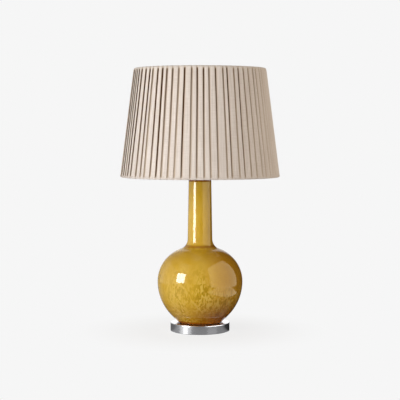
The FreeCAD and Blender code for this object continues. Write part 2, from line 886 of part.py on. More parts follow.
def makeCover():
    """Pleated fabric as one closed skin, turned in under both wire rings."""
    innerBottom = shadeBottom + s.hemThickness
    innerTop = shadeTop - s.hemThickness
    low = pleatRadius(innerBottom) - s.pleatDepth
    high = pleatRadius(innerTop) - s.pleatDepth
    body = turned(
        "pleated_cover",
        [
            (low - s.hemWidth, shadeBottom),
            (s.shadeBottomRadius, shadeBottom),
            (s.shadeTopRadius, shadeTop),
            (high - s.hemWidth, shadeTop),
            (high - s.hemWidth, innerTop),
            (high, innerTop),
            (low, innerBottom),
            (low - s.hemWidth, innerBottom),
        ],
    )
    rounded(body, s.hemRounding, (s.shadeBottomRadius, shadeBottom), (s.shadeTopRadius, shadeTop))


# ---------------------------------------------------------------- build, check and write


def check():
    """Stops on a failed object, a cut that removes nothing, or a shape that is not a valid solid."""
    for item in doc.Objects:
        if "Invalid" in item.State or "Error" in item.State:
            raise ValueError(f"{item.Label} failed: {item.State}")
    for cut in cuts:
        if cut.Shape.Volume > cut.BaseFeature.Shape.Volume - 1e-6:
            raise ValueError(f"{cut.Label} cuts nothing")
    for node in nodes:
        if node.Shape.isNull() or not node.Shape.isValid() or not node.Shape.Solids:
            raise ValueError(f"{node.Label} has no valid solid")


makeBase()
makeStem()
makeJar()
makeNeckCap()
makeHolderBody()
makeSkirt()
makeContacts()
makeShadeRing()
makePushBar()
makeBulb()
makeShadeFrame()
makeFitter()
makeLining()
makeCover()
doc.recompute()
check()

os.makedirs(PARTS_FOLDER, exist_ok=True)
for node in nodes:
    node.Shape.exportStep(os.path.join(PARTS_FOLDER, f"{node.Label}.step"))
    box = node.Shape.BoundBox
    print(f"{node.Label}: {node.Shape.Volume / 1000:.2f} cm3, z {box.ZMin:.2f} to {box.ZMax:.2f}")
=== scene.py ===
import bpy
import json
import math
import random
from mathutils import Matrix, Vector

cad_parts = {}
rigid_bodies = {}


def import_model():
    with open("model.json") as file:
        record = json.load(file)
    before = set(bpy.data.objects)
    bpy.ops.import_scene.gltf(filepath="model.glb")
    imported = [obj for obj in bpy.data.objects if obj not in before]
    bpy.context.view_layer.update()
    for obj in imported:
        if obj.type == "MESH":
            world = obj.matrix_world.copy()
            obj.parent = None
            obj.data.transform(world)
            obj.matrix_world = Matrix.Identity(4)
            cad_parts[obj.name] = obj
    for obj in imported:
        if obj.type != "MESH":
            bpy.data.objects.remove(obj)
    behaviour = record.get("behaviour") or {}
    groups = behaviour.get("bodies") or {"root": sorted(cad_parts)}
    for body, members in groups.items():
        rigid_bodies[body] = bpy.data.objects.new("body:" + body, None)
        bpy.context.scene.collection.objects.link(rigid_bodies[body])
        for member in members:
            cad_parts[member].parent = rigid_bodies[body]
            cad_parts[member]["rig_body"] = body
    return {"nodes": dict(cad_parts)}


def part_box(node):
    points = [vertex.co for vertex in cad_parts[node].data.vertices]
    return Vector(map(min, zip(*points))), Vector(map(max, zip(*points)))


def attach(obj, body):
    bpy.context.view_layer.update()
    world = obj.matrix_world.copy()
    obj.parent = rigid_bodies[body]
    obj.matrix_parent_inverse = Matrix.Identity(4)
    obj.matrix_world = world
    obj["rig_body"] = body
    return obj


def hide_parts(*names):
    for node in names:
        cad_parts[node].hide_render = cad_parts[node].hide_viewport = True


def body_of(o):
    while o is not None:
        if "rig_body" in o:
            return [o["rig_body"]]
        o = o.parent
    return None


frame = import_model()
nodes = frame["nodes"]
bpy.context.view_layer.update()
print("frame loaded:", len(nodes), "nodes")

white = (0.922, 0.922, 0.922, 1.0)  # the photograph's backdrop
ownPieces = ("base_cap", "jar", "pleated_cover")  # these are modelled anew below

copies = {
    "weld": 2e-6,  # corners nearer to each other than this become one
    "flat": 0.5,  # facets that meet at less than this many degrees become one
    "corner": 40,  # edges sharper than this many degrees are rounded
    "smooth": 32,  # edges blunter than this many degrees are shaded smooth
}


def deselectAll():
    if bpy.context.object and bpy.context.object.mode != "OBJECT":
        bpy.ops.object.mode_set(mode="OBJECT")
    bpy.ops.object.select_all(action="DESELECT")


def pick(piece):
    deselectAll()
    bpy.context.view_layer.objects.active = piece
    piece.select_set(True)


def applyModifier(piece, kind, **settings):
    pick(piece)
    modifier = piece.modifiers.new(kind.title(), kind)
    for key, value in settings.items():
        setattr(modifier, key, value)
    bpy.ops.object.modifier_apply(modifier=modifier.name)


def settle(piece):
    # the place goes into the mesh, so the object itself sits at the origin
    pick(piece)
    bpy.ops.object.transform_apply(location=True, rotation=True, scale=True)


def smoothFaces(piece, degrees):
    pick(piece)
    bpy.ops.object.shade_smooth_by_angle(angle=math.radians(degrees))


def finishPiece(piece, body, material):
    piece.data.materials.clear()
    piece.data.materials.append(material)
    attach(piece, body)


def dress(material, *names, soften=0.0):
    # the node gets the finish, and a copy with merged facets and softened edges stands for it
    for name in names:
        node = nodes[name]
        node.data.materials.clear()
        node.data.materials.append(material)
        if name in ownPieces:
            continue
        words = name.split("_")
        copyName = words[0] + "".join(word.title() for word in words[1:])
        piece = bpy.data.objects.new(copyName, node.data.copy())
        bpy.context.scene.collection.objects.link(piece)
        pick(piece)
        bpy.ops.object.mode_set(mode="EDIT")
        bpy.ops.mesh.select_all(action="SELECT")
        bpy.ops.mesh.remove_doubles(threshold=copies["weld"])
        if soften:
            bpy.ops.mesh.dissolve_limited(angle_limit=math.radians(copies["flat"]))
        bpy.ops.object.mode_set(mode="OBJECT")
        if soften:
            corner = math.radians(copies["corner"])
            applyModifier(piece, "BEVEL", width=soften, segments=2, limit_method="ANGLE", angle_limit=corner)
        smoothFaces(piece, copies["smooth"])
        finishPiece(piece, body_of(node)[0], material)
        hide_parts(name)


def turnRings(name, rings, segments, weld=1e-6):
    # a circle at the first ring, extruded and scaled to each ring after it and back to the first
    deselectAll()
    radius, height = rings[0]
    bpy.ops.mesh.primitive_circle_add(vertices=segments, radius=radius, location=(0, 0, height))
    piece = bpy.context.object
    piece.name = name
    bpy.ops.object.mode_set(mode="EDIT")
    bpy.ops.mesh.select_all(action="SELECT")
    for nextRadius, nextHeight in rings[1:] + rings[:1]:
        bpy.ops.mesh.extrude_region_move(TRANSFORM_OT_translate={"value": (0, 0, nextHeight - height)})
        factor = nextRadius / radius
        bpy.ops.transform.resize(value=(factor, factor, 1), center_override=(0, 0, nextHeight))
        radius, height = nextRadius, nextHeight
    bpy.ops.mesh.select_all(action="SELECT")
    bpy.ops.mesh.remove_doubles(threshold=weld)
    bpy.ops.mesh.normals_make_consistent(inside=False)
    bpy.ops.object.mode_set(mode="OBJECT")
    settle(piece)
    return piece


def arcRings(centre, radius, start, end, count):
    # points of an arc in radius and height, from one angle to another in degrees
    rings = []
    for step in range(count + 1):
        angle = math.radians(start + (end - start) * step / count)
        rings.append((centre[0] + radius * math.cos(angle), centre[1] + radius * math.sin(angle)))
    return rings


class Nodes:
    def __init__(self, tree):
        self.tree = tree

    def add(self, kind, values=None, **settings):
        node = self.tree.nodes.new(kind)
        for key, value in settings.items():
            setattr(node, key, value)
        for key, value in (values or {}).items():
            node.inputs[key].default_value = value
        return node

    def link(self, source, target):
        self.tree.links.new(source, target)

    def fill(self, sockets, values):
        # a value is another node's output or a constant
        for socket, value in zip(sockets, values):
            if isinstance(value, bpy.types.NodeSocket):
                self.link(value, socket)
            else:
                socket.default_value = value

    def math(self, operation, *values):
        node = self.add("ShaderNodeMath", operation=operation)
        self.fill(node.inputs, values)
        return node.outputs[0]

    def times(self, first, second):
        return self.math("MULTIPLY", first, second)

    def plus(self, first, second):
        return self.math("ADD", first, second)

    def largest(self, result, *others):
        for value in others:
            result = self.math("MAXIMUM", result, value)
        return result

    def mix(self, factor, first, second):
        node = self.add("ShaderNodeMix", data_type="RGBA")
        self.fill((node.inputs[0], node.inputs[6], node.inputs[7]), (factor, first, second))
        return node.outputs[2]

    def span(self, value, fromLow, fromHigh, toLow=0.0, toHigh=1.0):
        # a soft step from one value to another
        node = self.add("ShaderNodeMapRange", interpolation_type="SMOOTHSTEP")
        self.fill(node.inputs[:5], (value, fromLow, fromHigh, toLow, toHigh))
        return node.outputs[0]

    def noise(self, vector, scale, detail=3.0, roughness=0.5, bend=0.0):
        settings = {"Scale": scale, "Detail": detail, "Roughness": roughness, "Distortion": bend}
        node = self.add("ShaderNodeTexNoise", settings)
        self.link(vector, node.inputs["Vector"])
        return node.outputs["Fac"]

    def stretched(self, vector, scale):
        node = self.add("ShaderNodeMapping", {"Scale": scale})
        self.link(vector, node.inputs["Vector"])
        return node.outputs["Vector"]

    def split(self, vector):
        node = self.add("ShaderNodeSeparateXYZ")
        self.link(vector, node.inputs[0])
        return node.outputs

    def length(self, vector):
        node = self.add("ShaderNodeVectorMath", operation="LENGTH")
        self.link(vector, node.inputs[0])
        return node.outputs["Value"]

    def bump(self, height, distance, strength, normal=None):
        node = self.add("ShaderNodeBump", {"Distance": distance, "Strength": strength})
        self.link(height, node.inputs["Height"])
        if normal:
            self.link(normal, node.inputs["Normal"])
        return node.outputs["Normal"]

    def objectPlace(self):
        return self.add("ShaderNodeTexCoord").outputs["Object"]

    def group(self, tree, vector, values=None):
        node = self.add("ShaderNodeGroup", node_tree=tree)
        self.link(vector, node.inputs["Vector"])
        for key, value in (values or {}).items():
            node.inputs[key].default_value = value
        return node.outputs


def newMaterial(name, surface):
    material = bpy.data.materials.new(name)
    material.use_nodes = True
    shader = material.node_tree.nodes["Principled BSDF"]
    for key, value in surface.items():
        shader.inputs[key].default_value = value
    return material, Nodes(material.node_tree), shader


def newGroup(name, inputs, outputs):
    tree = bpy.data.node_groups.new(name, "ShaderNodeTree")
    tree.interface.new_socket("Vector", in_out="INPUT", socket_type="NodeSocketVector")
    for label, (kind, value) in inputs.items():
        socket = tree.interface.new_socket(label, in_out="INPUT", socket_type=kind)
        if value is not None:
            socket.default_value = value
    for label, kind in outputs.items():
        tree.interface.new_socket(label, in_out="OUTPUT", socket_type=kind)
    n = Nodes(tree)
    return tree, n, n.add("NodeGroupInput").outputs, n.add("NodeGroupOutput").inputs


weave = {
    "yarns": 900.0,  # yarns to a metre, each way, where a cloth doesn't say
    "across": 900,  # changes of a yarn's thickness to a metre, across the yarns
    "along": 24,  # and along them
    "checker": 0.25,  # share of the over and under in the relief
    "depth": 0.00035,
    "strength": 0.7,
}


def makeWeave():
    # plain weave with thick and thin yarns. Vector runs along the cloth in metres
    tree, n, put, out = newGroup(
        "plainWeave",
        {"Yarns per metre": ("NodeSocketFloat", weave["yarns"])},
        {"Height": "NodeSocketFloat", "Yarn": "NodeSocketFloat"},
    )
    parts = n.split(put["Vector"])
    turns = n.times(put["Yarns per metre"], math.pi)
    checker = n.times(n.math("SINE", n.times(parts[0], turns)), n.math("SINE", n.times(parts[1], turns)))
    warp = n.noise(n.stretched(put["Vector"], (weave["across"], weave["along"], 1)), 1.0, 2.0)
    weft = n.noise(n.stretched(put["Vector"], (weave["along"], weave["across"], 1)), 1.0, 2.0)
    yarn = n.times(n.plus(warp, weft), 0.5)
    n.link(n.plus(n.times(checker, weave["checker"]), yarn), out["Height"])
    n.link(yarn, out["Yarn"])
    return tree


wear = {
    "cloudScale": 30.0,
    "scuffScale": 900.0,
    "scuffStretch": (1, 1, 0.15),  # scuffs run up and down
    "cloudSpan": (0.35, 0.7),
    "scuffSpan": (0.45, 0.75),
}


def makeWear():
    # cloudy smudges and fine scuffs, from 0 to 1
    tree, n, put, out = newGroup(
        "handledWear",
        {
            "Cloud scale": ("NodeSocketFloat", wear["cloudScale"]),
            "Scuff scale": ("NodeSocketFloat", wear["scuffScale"]),
        },
        {"Cloud": "NodeSocketFloat", "Scuff": "NodeSocketFloat"},
    )
    cloud = n.add("ShaderNodeTexNoise", {"Detail": 4.0})
    n.link(put["Vector"], cloud.inputs["Vector"])
    n.link(put["Cloud scale"], cloud.inputs["Scale"])
    scuff = n.add("ShaderNodeTexNoise", {"Detail": 6.0, "Roughness": 0.7})
    n.link(n.stretched(put["Vector"], wear["scuffStretch"]), scuff.inputs["Vector"])
    n.link(put["Scuff scale"], scuff.inputs["Scale"])
    n.link(n.span(cloud.outputs["Fac"], *wear["cloudSpan"]), out["Cloud"])
    n.link(n.span(scuff.outputs["Fac"], *wear["scuffSpan"]), out["Scuff"])
    return tree


def makeThread():
    # height of a screw thread about the lamp's axis, its pitch in metres
    tree, n, put, out = newGroup(
        "screwThread", {"Pitch": ("NodeSocketFloat", 0.0015)}, {"Height": "NodeSocketFloat"}
    )
    parts = n.split(put["Vector"])
    turn = n.times(n.math("ARCTAN2", parts[1], parts[0]), 0.5 / math.pi)
    rise = n.math("SUBTRACT", n.math("DIVIDE", parts[2], put["Pitch"]), turn)
    n.link(n.math("PINGPONG", rise, 0.5), out["Height"])
    return tree


plainWeave = makeWeave()
handledWear = makeWear()
screwThread = makeThread()
print("shared effects made")


lining = {
    "light": (0.82, 0.80, 0.75, 1),
    "dark": (0.74, 0.71, 0.65, 1),
    "yarns": 1100.0,  # to a metre
    "yarnSpan": (0.38, 0.62),  # thin yarns are dark, thick ones light
    "surface": {"Roughness": 0.92, "Specular IOR Level": 0.15, "Sheen Weight": 0.2},
}


def makeLining():
    material, n, shader = newMaterial("liningCloth", lining["surface"])
    cloth = n.group(plainWeave, n.objectPlace(), {"Yarns per metre": lining["yarns"]})
    tone = n.mix(n.span(cloth["Yarn"], *lining["yarnSpan"]), lining["dark"], lining["light"])
    n.link(tone, shader.inputs["Base Color"])
    n.link(n.bump(cloth["Height"], weave["depth"], weave["strength"]), shader.inputs["Normal"])
    return material


linenLook = {
    "thread": (0.745, 0.700, 0.665, 1),
    "slub": (0.640, 0.585, 0.540, 1),
    # the two darker tones below are painted shade in the grooves between the pleats
    "fold": (0.600, 0.500, 0.395, 1),
    "crease": (0.070, 0.029, 0.009, 1),
    "yarns": 1100.0,  # to a metre
    "slubSize": (480, 11, 1),  # slubs to a metre, across and along the yarns
    "slubNoise": (1.0, 3.0, 0.6),  # scale, detail and roughness
    "slubSpan": (0.36, 0.60),
    "foldSpan": (0.0, 0.36),  # how deep in a fold the cloth takes the painted fold shade
    "creaseSpan": (0.28, 0.92),  # and the painted shade of the groove under each fold
    "surface": {"Roughness": 0.92, "Specular IOR Level": 0.12, "Sheen Weight": 0.15},
}


def makeLinen():
    # the cloth lies by its own map, and an attribute holds the painted shade of the grooves, by how deep in a
    # fold a point is
    look = linenLook
    material, n, shader = newMaterial("oatmealLinen", look["surface"])
    place = n.add("ShaderNodeUVMap", uv_map="cloth").outputs[0]
    cloth = n.group(plainWeave, place, {"Yarns per metre": look["yarns"]})
    slub = n.noise(n.stretched(place, look["slubSize"]), *look["slubNoise"])
    fleck = n.plus(n.times(cloth["Yarn"], 0.5), n.times(slub, 0.5))
    tone = n.mix(n.span(fleck, *look["slubSpan"]), look["slub"], look["thread"])
    # painted shade: the cloth darkens towards the groove under each fold
    crease = n.add("ShaderNodeAttribute", attribute_name="crease").outputs["Fac"]
    tone = n.mix(n.span(crease, *look["foldSpan"]), tone, look["fold"])
    tone = n.mix(n.span(crease, *look["creaseSpan"]), tone, look["crease"])
    n.link(tone, shader.inputs["Base Color"])
    n.link(n.bump(cloth["Height"], weave["depth"], weave["strength"]), shader.inputs["Normal"])
    return material


glaze = {
    "ochre": (0.640, 0.395, 0.020, 1),
    "honey": (0.760, 0.540, 0.105, 1),
    "olive": (0.395, 0.240, 0.003, 1),
    "amber": (0.270, 0.074, 0.003, 1),
    "rust": (0.610, 0.285, 0.010, 1),
    # each noise: how it is drawn out, then its scale, detail, roughness and distortion
    "drift": ((1, 1, 0.7), 13.0, 2.0, 0.5),
    "clouds": ((1, 1, 0.5), 17.0, 3.0, 0.55),
    "strokes": ((1, 1, 0.42), 185.0, 2.0, 0.45, 0.9),  # brush marks
    "flecks": ((1, 1, 0.6), 380.0, 2.0, 0.5, 0.5),
    "ripple": ((1, 1, 1), 38.0, 1.0, 0.3),
    "driftSpan": (0.36, 0.56),
    "driftLeast": 0.2,
    "cloudSpan": (0.34, 0.66),
    "cloudDepth": 0.45,
    # heights above the table, and distances to the right of the axis, are in metres
    "marksSpan": (0.165, 0.105),  # the marks fade in down from the first height to the second
    "marksSide": (-0.005, 0.045),  # and across this stretch, from left to right,
    "marksDrop": 0.045,  # they come to begin this much lower
    "marksLeft": (-0.085, -0.030, 0.25, 1.0),  # fewer of them at the far left
    "lightStroke": (0.49, 0.59),
    "lightDepth": 0.90,
    "darkStroke": (0.50, 0.40),
    "darkDepth": 0.75,
    "darkEverywhere": 0.03,
    "fleckSpan": (0.56, 0.70),
    "fleckDepth": 0.30,
    "rustSpan": (-0.010, 0.070, 0.0, 0.75),  # painted shade: the right side, turned from the main light, is painted more orange
    "poolSpan": (0.092, 0.026),  # amber towards the foot, partly glaze pooling and partly painted shade
    "poolSide": (-0.04, 0.04, 0.34, 0.95),  # more on the right, as painted shade
    # amber bands: where each fades in, by height or by distance from a middle height, and how deep it gets
    "footSpan": (0.0300, 0.0235),
    "footDepth": 0.97,
    "lipSpan": (0.3330, 0.3352),
    "lipDepth": 0.92,
    "rootHeight": 0.1905,
    "rootSpan": (0.0050, 0.0010),
    "rootDepth": 0.60,
    "shoulderHeight": 0.176,
    "shoulderSpan": (0.026, 0.004),
    "shoulderDepth": 0.15,
    "rippleRelief": (0.0006, 0.04),  # depth and strength
    "strokeRelief": (0.0002, 0.04),
    "smudges": 25.0,
    "rough": (0.05, 0.09),
    "surface": {"IOR": 1.47},
}


def makeGlaze():
    look = glaze
    material, n, shader = newMaterial("ochreGlaze", look["surface"])
    place = n.objectPlace()
    parts = n.split(place)
    side, level = parts[0], parts[2]

    def noiseOf(key):
        stretch, *settings = look[key]
        return n.noise(n.stretched(place, stretch), *settings)

    def bandAt(key):
        distance = n.math("ABSOLUTE", n.math("SUBTRACT", level, look[key + "Height"]))
        return n.times(n.span(distance, *look[key + "Span"]), look[key + "Depth"])

    # marks is where the brush marks show: thick on the lower belly, none on the shoulder and neck
    drift = n.times(n.span(noiseOf("drift"), *look["driftSpan"]), 1 - look["driftLeast"])
    markLevel = n.plus(level, n.times(n.span(side, *look["marksSide"]), look["marksDrop"]))
    marks = n.times(n.span(markLevel, *look["marksSpan"]), n.plus(drift, look["driftLeast"]))
    marks = n.times(marks, n.span(side, *look["marksLeft"]))
    clouds = n.span(noiseOf("clouds"), *look["cloudSpan"])
    strokes, flecks = noiseOf("strokes"), noiseOf("flecks")
    light = n.times(n.span(strokes, *look["lightStroke"]), n.times(marks, look["lightDepth"]))
    darkMarks = n.plus(n.times(marks, look["darkDepth"]), look["darkEverywhere"])
    dark = n.times(n.span(strokes, *look["darkStroke"]), darkMarks)
    tone = n.mix(n.times(clouds, look["cloudDepth"]), look["ochre"], look["honey"])
    # painted shade: more orange towards the right side
    tone = n.mix(n.span(side, *look["rustSpan"]), tone, look["rust"])
    tone = n.mix(light, tone, look["honey"])
    tone = n.mix(dark, tone, look["olive"])
    fleckMarks = n.times(n.span(flecks, *look["fleckSpan"]), n.times(marks, look["fleckDepth"]))
    tone = n.mix(fleckMarks, tone, look["olive"])
    # the glaze is darker amber over the shoulder and brown at the foot, the neck's root and the lip
    # amber towards the foot, partly glaze pooling and partly painted shade, and more on the right as painted
    # shade
    poolAndShade = n.times(n.span(level, *look["poolSpan"]), n.span(side, *look["poolSide"]))
    foot = n.times(n.span(level, *look["footSpan"]), look["footDepth"])
    lip = n.times(n.span(level, *look["lipSpan"]), look["lipDepth"])
    brown = n.largest(foot, poolAndShade, bandAt("root"), lip, bandAt("shoulder"))
    n.link(n.mix(brown, tone, look["amber"]), shader.inputs["Base Color"])
    marksRelief = n.bump(strokes, *look["strokeRelief"])
    n.link(n.bump(noiseOf("ripple"), *look["rippleRelief"], marksRelief), shader.inputs["Normal"])
    smudges = n.group(handledWear, place, {"Cloud scale": look["smudges"]})["Cloud"]
    n.link(n.span(smudges, 0.0, 1.0, *look["rough"]), shader.inputs["Roughness"])
    return material


bulbThread = (0.00363, 0.0016)  # a screw thread's pitch and depth
metals = {
    "polishedChrome": {"colour": (0.72, 0.72, 0.735, 1), "rough": (0.17, 0.22)},
    "zincPlate": {"colour": (0.62, 0.63, 0.64, 1), "rough": (0.30, 0.45)},
    "plainBrass": {"colour": (0.80, 0.56, 0.22, 1), "rough": (0.22, 0.40)},
    "threadedSteel": {"colour": (0.60, 0.61, 0.62, 1), "rough": (0.28, 0.43), "thread": (0.001, 0.0005)},
    "screwShellBrass": {"colour": (0.80, 0.58, 0.26, 1), "rough": (0.25, 0.40), "thread": bulbThread},
    "screwCapAluminium": {"colour": (0.78, 0.78, 0.79, 1), "rough": (0.22, 0.37), "thread": bulbThread},
}
scuffs = {"depth": 0.00002, "strength": 0.25}


def makeMetal(name):
    look = metals[name]
    material, n, shader = newMaterial(name, {"Base Color": look["colour"], "Metallic": 1.0})
    place = n.objectPlace()
    worn = n.group(handledWear, place)
    n.link(n.span(worn["Cloud"], 0.0, 1.0, *look["rough"]), shader.inputs["Roughness"])
    if "thread" in look:
        pitch, depth = look["thread"]
        thread = n.group(screwThread, place, {"Pitch": pitch})["Height"]
        n.link(n.bump(thread, depth, 1.0), shader.inputs["Normal"])
    else:
        n.link(n.bump(worn["Scuff"], scuffs["depth"], scuffs["strength"]), shader.inputs["Normal"])
    return material


mouldings = {
    # grain is the number of its bumps to a metre
    "blackMoulding": {"colour": (0.022, 0.022, 0.024, 1), "rough": 0.38, "grain": 900.0},
    "whiteBar": {"colour": (0.78, 0.77, 0.74, 1), "rough": 0.22, "grain": 300.0},
    "softRubber": {"colour": (0.03, 0.03, 0.03, 1), "rough": 0.75, "grain": 1200.0},
    "insertPorcelain": {"colour": (0.80, 0.79, 0.75, 1), "rough": 0.45, "grain": 700.0},
    "blackVitrite": {"colour": (0.012, 0.012, 0.016, 1), "rough": 0.14, "grain": 200.0},
    "whiteWireCoat": {"colour": (0.80, 0.79, 0.76, 1), "rough": 0.35, "grain": 500.0},
    # the lampholder's skirt carries the shade ring's thread on its outside, between the two radii
    "threadedMoulding": {
        "colour": (0.022, 0.022, 0.024, 1), "rough": 0.38,
        "thread": (0.0025, 0.0012), "inner": (0.0190, 0.0193), "outer": (0.0199, 0.0196),
    },
}
mouldedSkin = {"roughShift": 0.06, "cloudScale": 60.0, "grainDepth": 0.00012, "grainStrength": 0.3}


def makeMoulded(name):
    look = mouldings[name]
    material, n, shader = newMaterial(name, {"Base Color": look["colour"], "IOR": 1.48})
    place = n.objectPlace()
    smudges = n.group(handledWear, place, {"Cloud scale": mouldedSkin["cloudScale"]})["Cloud"]
    smooth, rough = look["rough"] - mouldedSkin["roughShift"], look["rough"] + mouldedSkin["roughShift"]
    n.link(n.span(smudges, 0.0, 1.0, smooth, rough), shader.inputs["Roughness"])
    if "thread" in look:
        pitch, depth = look["thread"]
        thread = n.group(screwThread, place, {"Pitch": pitch})["Height"]
        parts = n.split(place)
        radius = n.math("SQRT", n.plus(n.math("POWER", parts[0], 2.0), n.math("POWER", parts[1], 2.0)))
        outside = n.times(n.span(radius, *look["inner"]), n.span(radius, *look["outer"]))
        relief = n.bump(n.times(thread, outside), depth, 1.0)
    else:
        grain = n.noise(place, look["grain"], 2.0)
        relief = n.bump(grain, mouldedSkin["grainDepth"], mouldedSkin["grainStrength"])
    n.link(relief, shader.inputs["Normal"])
    return material


grained = {
    # grain is scale, detail and roughness of one noise, and relief is its depth and strength
    "blackFelt": {
        "tones": ((0.012, 0.012, 0.013, 1), (0.05, 0.05, 0.052, 1)),
        "grain": (1400.0, 5.0, 0.8), "relief": (0.0006, 0.8),
        "surface": {"Roughness": 1.0, "Specular IOR Level": 0.05, "Sheen Weight": 0.4},
    },
    "castIron": {
        "tones": ((0.03, 0.03, 0.03, 1), (0.10, 0.095, 0.09, 1)),
        "grain": (500.0, 5.0, 0.7), "relief": (0.0006, 0.6),
        "surface": {"Roughness": 0.7, "Metallic": 0.4},
    },
    "pressedBoard": {
        "tones": ((0.14, 0.075, 0.035, 1), (0.30, 0.19, 0.10, 1)),
        "grain": (700.0, 5.0, 0.7), "relief": (0.0003, 0.5), "stretch": (1, 0.3, 1),
        "surface": {"Roughness": 0.85},
    },
    "yellowPhosphor": {
        "tones": ((0.80, 0.50, 0.06, 1), (0.95, 0.70, 0.16, 1)),
        "grain": (2500.0, 3.0, 0.5),
        "surface": {"Roughness": 0.5, "Coat Weight": 0.4},
    },
}


def makeGrained(name):
    look = grained[name]
    material, n, shader = newMaterial(name, look["surface"])
    place = n.objectPlace()
    if "stretch" in look:
        place = n.stretched(place, look["stretch"])
    grain = n.noise(place, *look["grain"])
    n.link(n.mix(grain, *look["tones"]), shader.inputs["Base Color"])
    if "relief" in look:
        n.link(n.bump(grain, *look["relief"]), shader.inputs["Normal"])
    return material


bulbLook = {
    "surface": {"Base Color": (1, 1, 1, 1), "Roughness": 0.0, "IOR": 1.45, "Transmission Weight": 1.0},
    "ripple": 60.0,  # waves to a metre
    "relief": (0.0004, 0.1),
}


def makeBulbGlass():
    material, n, shader = newMaterial("clearGlass", bulbLook["surface"])
    ripple = n.noise(n.objectPlace(), bulbLook["ripple"], 1.0)
    n.link(n.bump(ripple, *bulbLook["relief"]), shader.inputs["Normal"])
    return material


linen = makeLinen()
ochreGlaze = makeGlaze()
chrome = makeMetal("polishedChrome")
zinc = makeMetal("zincPlate")
blackPlastic = makeMoulded("blackMoulding")
whiteWire = makeMoulded("whiteWireCoat")
bulbGlass = makeBulbGlass()

# soften is the radius of the rounded edges, in metres
dress(chrome, "base_cap", "neck_cap", soften=0.0003)
dress(zinc, "base_washer", "base_nut", "neck_nut", soften=0.0003)
dress(makeMetal("threadedSteel"), "stem_tube", soften=0.0002)
dress(makeMetal("plainBrass"), "centre_contact", "terminal_posts", "bulb_contact", soften=0.0001)
dress(makeMetal("screwShellBrass"), "screw_shell")
dress(makeMetal("screwCapAluminium"), "bulb_screw_cap")
dress(blackPlastic, "holder_body", "inlet_bush", soften=0.0004)
dress(blackPlastic, "shade_ring", soften=0.0003)
dress(makeMoulded("threadedMoulding"), "holder_skirt", soften=0.0003)
dress(makeMoulded("whiteBar"), "push_bar")
dress(makeMoulded("softRubber"), "seat_ring", "neck_gasket", soften=0.0002)
dress(makeMoulded("insertPorcelain"), "holder_insert", soften=0.0003)
dress(makeMoulded("blackVitrite"), "bulb_insulator")
dress(whiteWire, *[name for name in nodes if name.startswith(("shade_arm", "shade_strut"))])
dress(whiteWire, "shade_bottom_ring", "shade_top_ring")
dress(whiteWire, "fitter_ring", soften=0.0002)
dress(makeLining(), "shade_lining")
dress(makeGrained("blackFelt"), "foot_pad", soften=0.0004)
dress(makeGrained("castIron"), "base_weight", soften=0.0006)
dress(makeGrained("pressedBoard"), "base_board", soften=0.0003)
dress(bulbGlass, "bulb_glass", "bulb_mount")
dress(makeGrained("yellowPhosphor"), "bulb_filaments")
dress(ochreGlaze, "jar")
dress(linen, "pleated_cover")
print("finishes made,", len(nodes) - len(ownPieces), "pieces smoothed")


pleats = {
    "count": 71,
    "first": -92.4,  # where the first fold stands, in degrees round the axis
    "inset": 0.0004,  # the folds stay this far inside the CAD cover
    "step": 0.0027,  # a fold's edge stands this far above the next panel
    "doubled": 0.36,  # share of that step that is the fold's doubled cloth
    "underlap": 0.0042,  # cloth folded under at the lower edge, each way
    "cloth": 0.00035,
    "hemWidth": 0.0090,
    "hemRoll": 0.0034,
    "hemGap": 0.0002,  # between the hem and the shade's end
    "hemInside": ((1.0, 0.0004, 0.18), (0.7, 0.0002, 0.20)),  # share of the width, gap, depth of the pleats
    "hemTurns": ((90, 0.22), (66, 0.26), (44, 0.32), (22, 0.40), (0, 0.50)),  # degrees, depth of the pleats
    "hemFade": 0.009,  # the pleats are pressed flat over this height at the hems
    "hemDepth": 0.50,  # share of the pleats' depth that is left there
    "gather": 0.13,  # how much the rows of the wall gather at the hems
    "wallRows": 22,
    "uneven": 0.19,  # share of a pleat's width that its fold wanders
    "lean": 0.07,
    "sway": 0.02,
    "swayTurn": 5.0,  # radians from the lower edge to the upper one
    "depths": (0.85, 1.0),  # from the shallowest pleat to the deepest
    "tones": (0.60, 1.20),  # from the palest painted groove shade to the darkest
    "creaseLow": 0.62,  # strength of the painted groove shade at the lower edge, beside 1 at the upper one
    "creaseHem": 0.25,  # and at the hems
    "creaseLeast": 0.22,
    "smooth": 50,
    "seed": 7,
}


def foldSection(width, underlap, step):
    # one pleat, from where it lies under its neighbour to its own fold's edge and back under that:
    # distance along the shade, depth below the edge, and how much painted shade of the groove it takes
    layer = step * pleats["doubled"]
    return [
        (-underlap, step, 1.0),  # under the neighbour
        (-underlap * 0.4, step * 0.98, 1.0),
        (0.0004, step * 0.96, 1.0),  # out from under it
        (0.0024, step * 0.80, 1.0),
        (0.0038, step * 0.63, 0.24),
        (width * 0.38, step * 0.43, 0.03),  # the flat of the pleat
        (width * 0.58, step * 0.27, 0.0),
        (width * 0.80, step * 0.09, 0.03),
        (width - 0.0014, 0.0, 0.10),
        (width - 0.0004, layer * 0.22, 0.34),  # round the fold's edge
        (width - 0.0001, layer * 0.62, 0.90),
        (width - 0.0013, layer, 1.0),  # back under itself
        (width - underlap * 0.55, layer * 1.35, 1.0),
    ]


def hemRows(edge, end, side):
    # from inside the shade, round the roll and out to the wall
    # side is 1 at the lower hem and -1 at the upper one
    roll, gap = pleats["hemRoll"], pleats["hemGap"]
    rows = [
        (edge - pleats["hemWidth"] * share, end + side * inset, (0, side), depth)
        for share, inset, depth in pleats["hemInside"]
    ]
    for turn, depth in pleats["hemTurns"]:
        across, down = math.cos(math.radians(turn)), math.sin(math.radians(turn))
        height = end + side * (gap + roll - roll * down)
        rows.append((edge - roll + roll * across, height, (-across, side * down), depth))
    return rows


